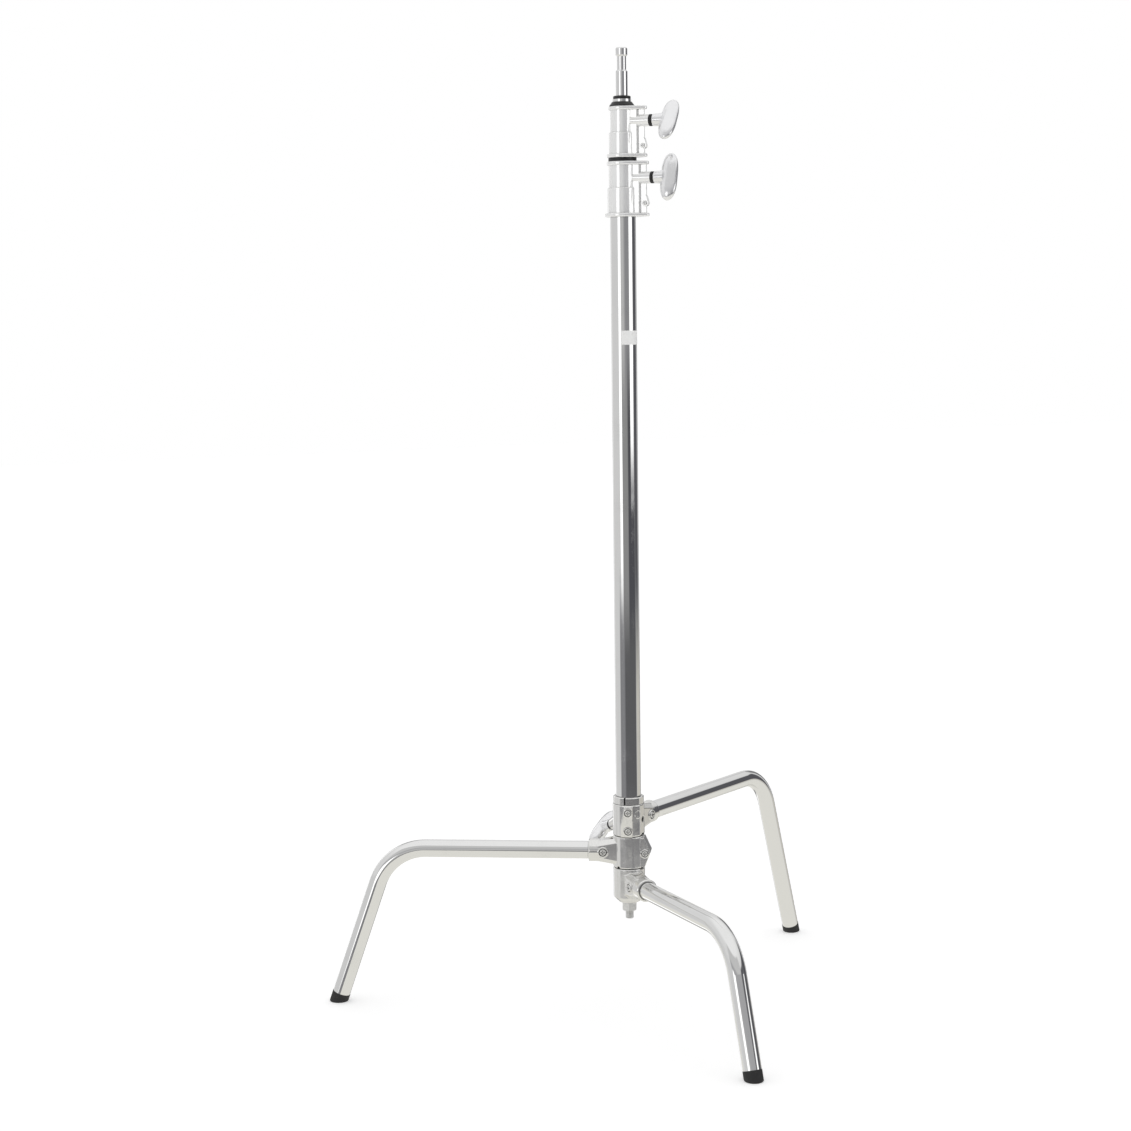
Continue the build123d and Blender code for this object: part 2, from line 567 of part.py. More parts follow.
RISER_2_BOTTOM = GUIDE_2_BOTTOM + GUIDE_FLOOR + FREE_GAP
RISER_3_BOTTOM = GUIDE_3_BOTTOM + GUIDE_FLOOR + FREE_GAP
save(ring_part(RISER_2_R, RISER_2_BORE, RISER_2_BOTTOM, RISER_2_TOP), "riser_2_tube")
save(ring_part(RISER_3_R, RISER_3_BORE, RISER_3_BOTTOM, RISER_3_TOP), "riser_3_tube")

# Collars


def eared_flange(radius, ear, bottom):
    """Flange with an ear toward the T-screw, rounded all round."""
    turn = radians(COLLAR_AZIMUTH)
    tip = ((ear - EAR_TIP_R) * cos(turn), (ear - EAR_TIP_R) * sin(turn))
    with BuildPart() as flange:
        with BuildSketch(Plane.XY.offset(bottom)):
            Circle(radius)
            with Locations(tip):
                Circle(EAR_TIP_R)
            make_hull()
        extrude(amount=COLLAR_FLANGE)
        fillet(flange.faces().filter_by(Axis.Z).edges(), FLANGE_ROUND)
    return flange.part


def rib(inner, outer, bottom, top, half):
    """Upright rib toward the T-screw, between two reaches and two heights, in the open part."""
    with BuildSketch(upright_plane(COLLAR_AZIMUTH)) as side:
        with Locations(((inner + outer) / 2, (bottom + top) / 2)):
            Rectangle(outer - inner, top - bottom)
    extrude(side.sketch, amount=half, both=True)


def lug_place(collar):
    """Reach and height of the axis of a collar's clamp screw."""
    return collar["ear"] - LUG_INSET, collar["lug"]


def collar_casting(collar, tube_r, tube_top, bore_r):
    """Collar with flanges and ears, a spine, a web with its lug, and the boss of the T-screw."""
    bottom, step, top, ear = collar["bottom"], collar["step"], collar["top"], collar["ear"]
    bottom_r, low_r, high_r, top_r = collar["radii"]
    spine_reach = low_r + SPINE_PROUD
    lug_reach, lug_z = lug_place(collar)
    with BuildPart() as casting:
        with BuildSketch(Plane.XY.offset(bottom)):
            Circle(low_r)
        extrude(amount=step - bottom)
        with BuildSketch(Plane.XY.offset(step)):
            Circle(high_r)
        extrude(amount=top - step)
        step_edges = casting.edges().filter_by(GeomType.CIRCLE).group_by(Axis.Z)[1]
        chamfer(step_edges.sort_by(SortBy.RADIUS)[-1], STEP_BEVEL)
        add(eared_flange(bottom_r, ear, bottom))
        add(eared_flange(top_r, ear, top - COLLAR_FLANGE))
        rib(RIB_ROOT, spine_reach, bottom + RIB_END, top - RIB_END, SPINE_HALF)
        rib(RIB_ROOT, spine_reach + RAIL_PROUD, bottom + RIB_END, top - RIB_END, RAIL_HALF)
        rib(RIB_ROOT, ear - WEB_SHORT, bottom + RIB_END, top - RIB_END, WEB_HALF)
        with BuildSketch(upright_plane(COLLAR_AZIMUTH)):
            with Locations((lug_reach, lug_z)):
                Circle(LUG_R)
            with Locations((lug_reach, lug_z + LUG_TOP_RISE)):
                Circle(LUG_TOP_R)
            make_hull()
        extrude(amount=LUG_HALF, both=True)
        with BuildSketch(radial_plane(COLLAR_AZIMUTH, collar["screw"], RIB_ROOT)):
            Circle(BOSS_R)
        extrude(amount=collar["boss"] - RIB_ROOT)
        with BuildSketch(tangent_plane(COLLAR_AZIMUTH, lug_z, lug_reach, -1)):
            Circle(LUG_SCREW["shank_r"] + SEAT_FIT)
        extrude(amount=2 * LUG_HALF, both=True, mode=Mode.SUBTRACT)
        with BuildSketch(Plane.XY.offset(bottom)):
            Circle(tube_r + SEAT_FIT)
        extrude(amount=tube_top - bottom, mode=Mode.SUBTRACT)
        with BuildSketch(Plane.XY.offset(bottom)):
            Circle(bore_r)
        extrude(amount=top - bottom, mode=Mode.SUBTRACT)
        with BuildSketch(radial_plane(COLLAR_AZIMUTH, collar["screw"], RIB_ROOT)):
            Circle(LOCK_HOLE_R)
        extrude(amount=collar["boss"], mode=Mode.SUBTRACT)
    return casting


def clamp_screw(collar):
    """Screw that clamps a collar on its tube, through the lug."""
    reach, height = lug_place(collar)
    with BuildPart() as screw:
        head_top = tangent_plane(COLLAR_AZIMUTH, height, reach, -1).offset(LUG_HALF + LUG_HEAD_PROUD)
        add(cross_screw(head_top, **LUG_SCREW))
    return screw


save(collar_casting(LOWER_COLLAR, COLUMN_R, COLUMN_TOP, COLUMN_BORE), "lower_collar")
save(clamp_screw(LOWER_COLLAR), "lower_collar_screw")
save(collar_casting(UPPER_COLLAR, RISER_2_R, RISER_2_TOP, RISER_2_BORE), "upper_collar")
save(clamp_screw(UPPER_COLLAR), "upper_collar_screw")


def collar_bushing(collar, head, bore_r, tube_r):
    """Plastic bushing: a head on the collar, from its outline, and a liner in the bore."""
    top = collar["top"]
    with BuildPart() as bushing:
        with BuildSketch(Plane.XZ):
            with BuildLine():
                Polyline(
                    (tube_r + SLIDE_FIT, top - LINER_DEPTH),
                    (bore_r - SEAT_FIT, top - LINER_DEPTH),
                    (bore_r - SEAT_FIT, top),
                    *head,
                    (tube_r + SLIDE_FIT, head[-1][1]),
                    close=True,
                )
            make_face()
        revolve(axis=Axis.Z)
    return bushing


LOWER_TOP, UPPER_TOP = LOWER_COLLAR["top"], UPPER_COLLAR["top"]
lower_head = [(LOWER_HEAD_R, LOWER_TOP), (LOWER_HEAD_R, UPPER_COLLAR["bottom"] - FREE_GAP)]
upper_head = [(radius, UPPER_TOP + rise) for radius, rise in UPPER_HEAD]
save(collar_bushing(LOWER_COLLAR, lower_head, COLUMN_BORE, RISER_2_R), "lower_bushing")
save(collar_bushing(UPPER_COLLAR, upper_head, RISER_2_BORE, RISER_3_R), "upper_bushing")

# T-screws


def wing_share(along):
    """Size of the wing's section at a distance from its middle, as a share of the full size."""
    return max(WING_TIP_SHARE, sqrt(1.0 - abs(along / WING_HALF) ** WING_POWER))


def t_screw(name, azimuth, height, lean, shoe_start, boss_end, thick=WING_THICK, drop=0.0):
    """Brake shoe, screw, bush and T-handle on one outward axis; lean turns the wing from upright."""

    def across(reach):
        return radial_plane(azimuth, height, reach, drop)

    with BuildPart() as shoe:
        with BuildSketch(across(shoe_start)):
            Circle(SHOE_R)
        extrude(amount=SHOE_LENGTH)
    save(shoe, f"{name}_brake_shoe")

    bush_end = boss_end + BUSH_LENGTH
    hub_start = bush_end + HUB_GAP
    screw_start, screw_end = shoe_start + SHOE_LENGTH, HUB_END - 2 * HUB_WALL
    with BuildPart() as screw:
        with BuildSketch(across(screw_start)):
            Circle(LOCK_SCREW_R)
        extrude(amount=screw_end - screw_start)
        chamfer(screw.edges().filter_by(GeomType.CIRCLE), LOCK_SCREW_BEVEL)
    save(screw, f"{name}_lock_screw")

    with BuildPart() as bush:
        with BuildSketch(across(boss_end)):
            Circle(BUSH_R)
            Circle(LOCK_HOLE_R, mode=Mode.SUBTRACT)
        extrude(amount=BUSH_LENGTH)
    save(bush, f"{name}_lock_bush")

    middle = across(WING_CENTRE)
    wing_dir = middle.y_dir * cos(radians(lean)) + middle.x_dir * sin(radians(lean))
    with BuildPart() as handle:
        for step in range(-WING_STEPS, WING_STEPS + 1):
            along = WING_HALF * sin(radians(90.0 * step / WING_STEPS))
            share = wing_share(along)
            with BuildSketch(Plane(middle.origin + wing_dir * along, x_dir=middle.z_dir, z_dir=wing_dir)):
                Ellipse(WING_DEEP * share, thick * share)
        loft()
        with BuildSketch(across(hub_start)):
            Circle(HUB_START_R)
        with BuildSketch(across(HUB_END)):
            Circle(HUB_END_R)
        loft()
        with BuildSketch(across(hub_start)):
            Circle(LOCK_SCREW_R + SEAT_FIT)
        extrude(amount=HUB_END - HUB_WALL - hub_start, mode=Mode.SUBTRACT)
    save(handle, f"{name}_handle")


lower_screw_z, upper_screw_z = LOWER_COLLAR["screw"], UPPER_COLLAR["screw"]
lower_boss, upper_boss = LOWER_COLLAR["boss"], UPPER_COLLAR["boss"]
t_screw("lower", COLLAR_AZIMUTH, lower_screw_z, LOWER_LEAN, RISER_2_R + FREE_GAP, lower_boss)
t_screw("upper", COLLAR_AZIMUTH, upper_screw_z, UPPER_LEAN, RISER_3_R + FREE_GAP, upper_boss)
t_screw(
    "leg",
    LEG_LOCK_AZIMUTH,
    TOP_RUN,
    LEG_LEAN,
    LEG_SHOE_START,
    LEG_BOSS_END,
    LEG_WING_THICK,
    LEG_LOCK_DROP,
)

# Pin on the top riser

with BuildPart() as top_pin:
    with BuildSketch(Plane.XZ):
        with BuildLine():
            Polyline(
                (0, RISER_3_TOP - PIN_PLUG),
                (RISER_3_BORE - SEAT_FIT, RISER_3_TOP - PIN_PLUG),
                (RISER_3_BORE - SEAT_FIT, RISER_3_TOP),
                (PIN_NECK_R, RISER_3_TOP),
                (PIN_NECK_R, PIN_BASE + PIN_SHOULDER_GAP),
                (PIN_R, PIN_BASE + PIN_SHOULDER_GAP),
                (PIN_R, GROOVE_BOTTOM),
                (GROOVE_R, GROOVE_BOTTOM + GROOVE_SLOPE),
                (GROOVE_R, GROOVE_TOP - GROOVE_SLOPE),
                (PIN_R, GROOVE_TOP),
                (PIN_R, PIN_TOP - PIN_BEVEL),
                (PIN_R - PIN_BEVEL, PIN_TOP),
                (0, PIN_TOP),
                close=True,
            )
        make_face()
    revolve(axis=Axis.Z)
save(top_pin, "top_pin")

save(ring_part(PIN_RING_R, PIN_NECK_R + SEAT_FIT, RISER_3_TOP, PIN_BASE, PIN_RING_BEVEL), "pin_ring")

# Label band

with BuildPart() as column_label:
    label_edges = [radians(LABEL_AZIMUTH + side * LABEL_HALF_ANGLE) for side in (-1, 1)]
    wedge_r = 3 * COLUMN_R
    with BuildSketch(Plane.XY.offset(LABEL_BOTTOM)):
        Circle(COLUMN_R + SEAT_FIT + LABEL_THICK)
        Circle(COLUMN_R + SEAT_FIT, mode=Mode.SUBTRACT)
        with BuildLine():
            Polyline((0, 0), *[(wedge_r * cos(a), wedge_r * sin(a)) for a in label_edges], close=True)
        make_face(mode=Mode.INTERSECT)
    extrude(amount=LABEL_TOP - LABEL_BOTTOM)
save(column_label, "column_label")
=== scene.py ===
import json
import math

import bpy
import numpy as np
from mathutils import Matrix, Vector


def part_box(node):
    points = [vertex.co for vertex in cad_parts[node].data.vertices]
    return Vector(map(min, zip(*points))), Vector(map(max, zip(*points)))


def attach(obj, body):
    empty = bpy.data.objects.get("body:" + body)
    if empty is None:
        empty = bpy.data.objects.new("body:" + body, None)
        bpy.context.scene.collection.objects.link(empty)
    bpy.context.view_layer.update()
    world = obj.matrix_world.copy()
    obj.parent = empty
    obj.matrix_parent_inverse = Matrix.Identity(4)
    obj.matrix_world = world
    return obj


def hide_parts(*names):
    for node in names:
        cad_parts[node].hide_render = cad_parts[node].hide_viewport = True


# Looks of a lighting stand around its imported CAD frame: studio, camera, materials and finer meshes.
# Metres, in the frame of the CAD: +Z runs up the column, and the origin is on its axis at floor level.
# Azimuths are in degrees and turn from +X towards +Y.

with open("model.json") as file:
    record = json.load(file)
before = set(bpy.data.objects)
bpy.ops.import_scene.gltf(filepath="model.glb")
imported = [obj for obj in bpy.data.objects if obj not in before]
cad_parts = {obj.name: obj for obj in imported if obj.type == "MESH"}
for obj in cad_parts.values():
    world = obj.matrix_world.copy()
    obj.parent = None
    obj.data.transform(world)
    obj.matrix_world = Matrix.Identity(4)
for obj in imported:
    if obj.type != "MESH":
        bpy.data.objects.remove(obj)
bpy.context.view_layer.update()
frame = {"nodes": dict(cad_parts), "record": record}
nodes = frame["nodes"]
scene = bpy.context.scene
MM = 0.001
slot_of = {part["node"]: part["material_slot"] for part in frame["record"]["subparts"]}
body_of = {
    node: body for body, members in frame["record"]["behaviour"]["bodies"].items() for node in members
}


# Camera: a long lens at chest height, a little left of the low leg. Its tilts are in degrees.

CAMERA_AZIMUTH = -116.2
CAMERA_REACH, CAMERA_HEIGHT = 3.156, 0.994
CAMERA_YAW, CAMERA_PITCH, CAMERA_ROLL = -1.54, -6.54, -0.72
LENS_MM, SENSOR_MM = 72.48, 36.0
CLIP_START, CLIP_END = 0.05, 60.0


def out(azimuth):
    """Unit vector that points away from the column."""
    turn = math.radians(azimuth)
    return Vector((math.cos(turn), math.sin(turn), 0.0))


def make_camera():
    """Camera aimed at the column, then turned by its yaw, pitch and roll."""
    data = bpy.data.cameras.new("camera")
    data.sensor_width = SENSOR_MM
    data.lens = LENS_MM
    data.clip_start, data.clip_end = CLIP_START, CLIP_END
    camera = bpy.data.objects.new("camera", data)
    scene.collection.objects.link(camera)
    level = Vector((0.0, 0.0, 1.0))
    heading = Matrix.Rotation(-math.radians(CAMERA_YAW), 3, "Z") @ -out(CAMERA_AZIMUTH)
    pitch = math.radians(CAMERA_PITCH)
    ahead = heading * math.cos(pitch) + level * math.sin(pitch)
    right = ahead.cross(level).normalized()
    up = right.cross(ahead)
    roll = math.radians(CAMERA_ROLL)
    turned_right = right * math.cos(roll) + up * math.sin(roll)
    turned_up = up * math.cos(roll) - right * math.sin(roll)
    axes = Matrix((turned_right, turned_up, -ahead)).transposed()
    place = out(CAMERA_AZIMUTH) * CAMERA_REACH + level * CAMERA_HEIGHT
    camera.matrix_world = Matrix.Translation(place) @ axes.to_4x4()
    scene.camera = camera


make_camera()
scene.view_settings.view_transform = "Standard"


class Graph:
    """Short names for building a node tree."""

    def __init__(self, tree):
        self.tree = tree

    def add(self, kind, inputs=None, **settings):
        """New node with its settings, and its inputs fed by name or number."""
        node = self.tree.nodes.new(kind)
        for name, value in settings.items():
            setattr(node, name, value)
        for key, value in (inputs or {}).items():
            self.feed(value, node.inputs[key])
        return node

    def feed(self, value, socket):
        """Link an output to a socket, or put a constant on it."""
        if isinstance(value, bpy.types.NodeSocket):
            self.tree.links.new(value, socket)
        else:
            socket.default_value = value

    def math(self, operation, first, second=0.0, third=0.0):
        inputs = {0: first, 1: second, 2: third}
        return self.add("ShaderNodeMath", inputs, operation=operation).outputs[0]

    def vector(self, operation, first, second):
        return self.add("ShaderNodeVectorMath", {0: first, 1: second}, operation=operation)

    def ramp(self, value, low, high, start=0.0, end=1.0):
        """Smooth step from start to end as value goes from low to high."""
        inputs = {"Value": value, "From Min": low, "From Max": high, "To Min": start, "To Max": end}
        node = self.add("ShaderNodeMapRange", inputs, interpolation_type="SMOOTHSTEP", clamp=True)
        return node.outputs["Result"]

    def mix(self, share, first, second):
        """Colour that goes from first to second as share goes from 0 to 1."""
        node = self.add("ShaderNodeMix", data_type="RGBA")
        self.feed(share, node.inputs[0])
        self.feed(first, node.inputs[6])
        self.feed(second, node.inputs[7])
        return node.outputs[2]

    def noise(self, place, scale, detail=3.0, rough=0.55):
        """Noise of 0 to 1, with a scale in features a metre when place is in metres."""
        inputs = {"Vector": place, "Scale": scale, "Detail": detail, "Roughness": rough}
        return self.add("ShaderNodeTexNoise", inputs).outputs[0]

    def bump(self, height, depth, normal=None):
        """Normal with a height of 0 to 1 added to it at a depth in metres."""
        inputs = {"Height": height, "Distance": depth, "Strength": 1.0}
        if normal is not None:
            inputs["Normal"] = normal
        return self.add("ShaderNodeBump", inputs).outputs[0]


# Studio: what the polished metal reflects, as soft-edged cards on a sphere round the stand.
# Azimuths are degrees to the right of the camera's direction from the stand, elevations from level.

WALL = (0.74, 0.74, 0.74, 1)
CEILING = (0.90, 0.90, 0.90, 1)
CEILING_RISE = (25, 55)
FLOOR_GLOW = (0.80, 0.79, 0.74, 1)
FLOOR_RISE = (-20, -14)
CARDS = [
    # (azimuths, elevations, softness in azimuth and elevation, colour)
    ((-181, -50), (-12, 8), 4, 2, (0.67, 0.67, 0.67, 1)),
    ((92, 181), (-15, -8), 4, 1.5, (0.60, 0.58, 0.53, 1)),
    ((88, 135), (-8.5, 24), 4, 2, (0.10, 0.10, 0.11, 1)),
    ((-60, 48), (14, 46), 8, 3, (0.58, 0.58, 0.58, 1)),
    ((-60, 48), (9, 20), 8, 3, (0.40, 0.40, 0.41, 1)),
    ((48, 90), (11, 24), 5, 3, (0.12, 0.12, 0.13, 1)),
    ((-27, 52), (-9, 11), 5, 2, (0.52, 0.52, 0.52, 1)),
    ((4, 52), (-9, 11), 12, 2, (0.27, 0.27, 0.28, 1)),
    ((-27, 88), (-9, -1.8), 4, 1.2, (0.28, 0.28, 0.28, 1)),
    ((24, 88), (-9.5, -1.8), 6, 1.2, (0.08, 0.08, 0.09, 1)),
    ((-66, 88), (-14.8, -12), 5, 0.8, (0.19, 0.19, 0.20, 1)),
    ((-66, 88), (-13.0, -8), 5, 1, (0.115, 0.115, 0.12, 1)),
    ((-66, -22), (-14.1, -7.5), 8, 1, (0.24, 0.24, 0.25, 1)),
    ((-50, -28), (-7.0, 11), 2.5, 1.3, (1.5, 1.5, 1.5, 1)),
    ((51, 84), (-4.0, 11), 3, 1.3, (1.5, 1.5, 1.5, 1)),
    # Behind the stand
    ((146, 168), (-28, 26), 4, 4, (0.20, 0.20, 0.205, 1)),
    ((-170, -157), (-42, 26), 4, 4, (0.28, 0.28, 0.29, 1)),
    ((-154, -144), (-42, 26), 3, 4, (1.3, 1.3, 1.3, 1)),
]
BACKGROUND = (1.0, 1.0, 1.0, 1)


def make_world():
    """World that shows white to the camera and the cards to everything else."""
    world = bpy.data.worlds.new("studio")
    world.use_nodes = True
    scene.world = world
    g = Graph(world.node_tree)
    world.node_tree.nodes.clear()
    direction = g.add("ShaderNodeTexCoord").outputs["Generated"]
    inputs = {"Vector": direction, "Angle": -math.radians(CAMERA_AZIMUTH)}
    turned = g.add("ShaderNodeVectorRotate", inputs, rotation_type="Z_AXIS").outputs[0]
    part = g.add("ShaderNodeSeparateXYZ", {0: turned}).outputs
    azimuth = g.math("DEGREES", g.math("ARCTAN2", part["Y"], part["X"]))
    height = g.math("MINIMUM", g.math("MAXIMUM", part["Z"], -1.0), 1.0)
    elevation = g.math("DEGREES", g.math("ARCSINE", height))

    def inside(value, low, high, soft):
        rise = g.ramp(value, low - soft, low + soft)
        fall = g.ramp(value, high - soft, high + soft, 1.0, 0.0)
        return g.math("MULTIPLY", rise, fall)

    glow = g.mix(g.ramp(elevation, *CEILING_RISE), WALL, CEILING)
    glow = g.mix(g.ramp(elevation, *FLOOR_RISE, 1.0, 0.0), glow, FLOOR_GLOW)
    for azimuths, elevations, soft_side, soft_up, colour in CARDS:
        across = inside(azimuth, *azimuths, soft_side)
        upward = inside(elevation, *elevations, soft_up)
        glow = g.mix(g.math("MULTIPLY", across, upward), glow, colour)
    seen = g.add("ShaderNodeLightPath").outputs["Is Camera Ray"]
    room = g.add("ShaderNodeBackground", {"Color": glow, "Strength": 1.0}).outputs[0]
    plain = g.add("ShaderNodeBackground", {"Color": BACKGROUND, "Strength": 1.0}).outputs[0]
    shown = g.add("ShaderNodeMixShader", {0: seen, 1: room, 2: plain}).outputs[0]
    g.add("ShaderNodeOutputWorld", {"Surface": shown})


FLOOR_HALF = 12.0
FLOOR_COLOUR, FLOOR_ROUGH = (0.9, 0.9, 0.9, 1), 0.9
FLOOR_LIGHT = 0.35


def make_floor():
    """Pale floor that gives a little light of its own and isn't reflected in the metal."""
    mesh = bpy.data.meshes.new("floor")
    signs = [(-1, -1), (1, -1), (1, 1), (-1, 1)]
    corners = [(across * FLOOR_HALF, along * FLOOR_HALF, 0) for across, along in signs]
    mesh.from_pydata(corners, [], [(0, 1, 2, 3)])
    floor = bpy.data.objects.new("floor", mesh)
    scene.collection.objects.link(floor)
    material = bpy.data.materials.new("floor")
    material.use_nodes = True
    shader = material.node_tree.nodes["Principled BSDF"]
    shader.inputs["Base Color"].default_value = FLOOR_COLOUR
    shader.inputs["Roughness"].default_value = FLOOR_ROUGH
    shader.inputs["Emission Color"].default_value = (1, 1, 1, 1)
    shader.inputs["Emission Strength"].default_value = FLOOR_LIGHT
    mesh.materials.append(material)
    floor.visible_glossy = False


make_world()
make_floor()


# Materials. Each finish is one function; every tree reads the object's own coordinates.

CORNER_SAMPLES, SHADE_SAMPLES = 4, 6
BLACK = (0, 0, 0, 1)


def start_material(name):
    """New material with its graph, its shader and its coordinates in metres."""
    material = bpy.data.materials.new(name)
    material.use_nodes = True
    g = Graph(material.node_tree)
    return material, g, material.node_tree.nodes["Principled BSDF"], g.add("ShaderNodeTexCoord").outputs


def painted_crevice_shade(g, colour, distance, dark):
    """Painted shade: colour that falls to a dark share of itself where surfaces meet within a distance,
    by ambient occlusion.
    """
    shade = g.add("ShaderNodeAmbientOcclusion", {"Distance": distance}, samples=SHADE_SAMPLES)
    return g.mix(g.ramp(shade.outputs["AO"], 0.25, 0.85, dark), BLACK, colour)


def darker(tint, share):
    """Tint with its red, green and blue brought down to a share."""
    return tuple(value * share for value in tint[:3]) + (1,)


def soft_corners(g, radius):
    """Normal that rounds the shading of sharp edges."""
    return g.add("ShaderNodeBevel", {"Radius": radius}, samples=CORNER_SAMPLES).outputs[0]


def stretched(g, place, scales):
    """Object coordinates times a scale for each axis."""
    return g.vector("MULTIPLY", place["Object"], scales).outputs[0]


def set_shader(g, shader, colour, metallic, rough, normal):
    """Feed the four sockets that every finish sets."""
    g.feed(colour, shader.inputs["Base Color"])
    g.feed(metallic, shader.inputs["Metallic"])
    g.feed(rough, shader.inputs["Roughness"])
    g.feed(normal, shader.inputs["Normal"])


# Reach and darkest share of the shade painted where surfaces meet, for plating and for castings.
PLATING_PAINTED_SHADE = (3.0 * MM, 0.35)
CASTING_PAINTED_SHADE = (5.0 * MM, 0.25)
LINE_DEPTH = 0.0016 * MM


def plated(name, tint, rough, lengthwise, edge=0.3 * MM, waviness=0.0, metallic=1.0, painted_shade=PLATING_PAINTED_SHADE):
    """Bright plating: lengthwise drawing marks, rubbed lines, specks, smudges and painted shade in
    joints.

    lengthwise maps the coordinates to a vector that changes fast round a part and slowly along it.
    waviness is the depth of slow ripples, and painted_shade is the reach and darkest share of the shade
    painted into joints.
    """
    material, g, shader, place = start_material(name)
    at = place["Object"]
    along = lengthwise(g, place)
    lines = g.noise(along, 1.0, 5.0, 0.7)
    smudge = g.noise(at, 22.0, 4.0, 0.6)
    speck = g.noise(at, 900.0, 2.0)
    wiped = g.ramp(smudge, 0.45, 0.72, rough, rough + 0.07)
    rubbed = g.math("MULTIPLY_ADD", g.ramp(lines, 0.55, 0.75), 0.05, wiped)
    dull = g.math("MULTIPLY_ADD", g.ramp(speck, 0.66, 0.8), 0.10, rubbed)
    colour = g.mix(g.ramp(smudge, 0.5, 0.8, 0.0, 0.35), tint, darker(tint, 0.9))
    # Painted shade: ambient occlusion darkens the colour where surfaces meet.
    colour = painted_crevice_shade(g, colour, *painted_shade)
    normal = g.bump(lines, LINE_DEPTH, soft_corners(g, edge))
    if waviness:
        normal = g.bump(g.noise(at, 120.0, 2.0), waviness, normal)
    set_shader(g, shader, colour, metallic, dull, normal)
    return material


def upright_lines(g, place):
    """Lines that run up the column: fast round it, slow along it."""
    return stretched(g, place, (900.0, 900.0, 7.0))


def leg_lines(azimuth):
    """Lines that follow a bent leg: fast with the sideways share of the normal, slow along it."""
    side = out(azimuth + 90.0)

    def lines(g, place):
        lean = g.vector("DOT_PRODUCT", place["Normal"], tuple(side)).outputs["Value"]
        part = g.add("ShaderNodeSeparateXYZ", {0: place["Object"]}).outputs
        forward = g.vector("DOT_PRODUCT", place["Object"], tuple(out(azimuth))).outputs["Value"]
        inputs = {
            "X": g.math("MULTIPLY", lean, 14.0),
            "Y": g.math("MULTIPLY", forward, 5.0),
            "Z": g.math("MULTIPLY", part["Z"], 5.0),
        }
        return g.add("ShaderNodeCombineXYZ", inputs).outputs[0]

    return lines


def turned_lines(g, place):
    """Fine rings left by turning on a lathe round the column axis."""
    return stretched(g, place, (30.0, 30.0, 4200.0))


def cast_metal(name, tint, rough, grain, painted_shade=CASTING_PAINTED_SHADE, edge=0.0, metallic=1.0):
    """Polished casting: soft pits, sanding marks, uneven gloss, and painted shade where parts meet.

    grain is the depth that the bumps are shares of.
    """
    material, g, shader, place = start_material(name)
    at = place["Object"]
    swell = g.noise(at, 70.0, 3.0)
    grit = g.noise(at, 650.0, 4.0, 0.65)
    marks = g.noise(stretched(g, place, (260.0, 260.0, 1500.0)), 1.0, 4.0, 0.7)
    pits = g.ramp(g.noise(at, 420.0, 2.0), 0.68, 0.78)
    dull = g.math("MULTIPLY_ADD", g.ramp(swell, 0.4, 0.7), 0.07, rough)
    dull = g.math("MULTIPLY_ADD", marks, 0.05, dull)
    dull = g.math("MULTIPLY_ADD", pits, 0.15, dull)
    colour = g.mix(g.ramp(grit, 0.35, 0.75, 0.0, 0.5), tint, darker(tint, 0.88))
    # Painted shade: ambient occlusion darkens the colour where parts meet.
    colour = painted_crevice_shade(g, colour, *painted_shade)
    normal = g.bump(swell, 2.2 * grain, soft_corners(g, edge) if edge else None)
    normal = g.bump(g.math("SUBTRACT", grit, pits), 0.5 * grain, normal)
    normal = g.bump(marks, 0.25 * grain, normal)
    set_shader(g, shader, colour, metallic, dull, normal)
    return material


def mottled_metal(name, tint, rough):
    """Zinc-plated steel or brass: mottled surface, scuffs and painted shade in recesses."""
    material, g, shader, place = start_material(name)
    at = place["Object"]
    mottle = g.noise(at, 350.0, 3.0)
    scuff = g.noise(stretched(g, place, (2600.0, 300.0, 2600.0)), 1.0, 3.0)
    dull = g.math("MULTIPLY_ADD", mottle, 0.18, rough)
    colour = g.mix(g.ramp(mottle, 0.35, 0.7), tint, darker(tint, 0.88))
    # Painted shade: ambient occlusion darkens the colour in recesses.
    colour = painted_crevice_shade(g, colour, 1.6 * MM, 0.12)
    normal = g.bump(scuff, 0.012 * MM, soft_corners(g, 0.15 * MM))
    set_shader(g, shader, colour, 1.0, dull, normal)
    return material


DUST = (0.32, 0.31, 0.29, 1)


def moulded(name, tint, rough, grain_scale, grain_depth, dust):
    """Black rubber or plastic: moulded grain, worn shine and a little dust."""
    material, g, shader, place = start_material(name)
    at = place["Object"]
    grain = g.noise(at, grain_scale, 3.0)
    wear = g.noise(at, 90.0, 4.0, 0.6)
    dull = g.ramp(wear, 0.3, 0.75, rough, rough + 0.2)
    lint = g.math("MULTIPLY", g.ramp(wear, 0.5, 0.8), g.ramp(grain, 0.45, 0.7))
    colour = g.mix(g.math("MULTIPLY", lint, dust), tint, DUST)
    normal = g.bump(grain, grain_depth, soft_corners(g, 0.3 * MM))
    set_shader(g, shader, colour, 0.0, dull, normal)
    return material


FILM_WHITE, FILM_SOILED = (0.93, 0.93, 0.92, 1), (0.80, 0.79, 0.76, 1)


def film(name):
    """Blank film: slight wrinkles, uneven gloss and handling marks."""
    material, g, shader, place = start_material(name)
    wrinkle = g.noise(stretched(g, place, (160.0, 160.0, 420.0)), 1.0, 3.0)
    marks = g.noise(place["Object"], 60.0, 5.0, 0.65)
    dull = g.ramp(marks, 0.35, 0.7, 0.22, 0.4)
    colour = g.mix(g.ramp(marks, 0.5, 0.8), FILM_WHITE, FILM_SOILED)
    set_shader(g, shader, colour, 0.0, dull, g.bump(wrinkle, 0.03 * MM))
    return material


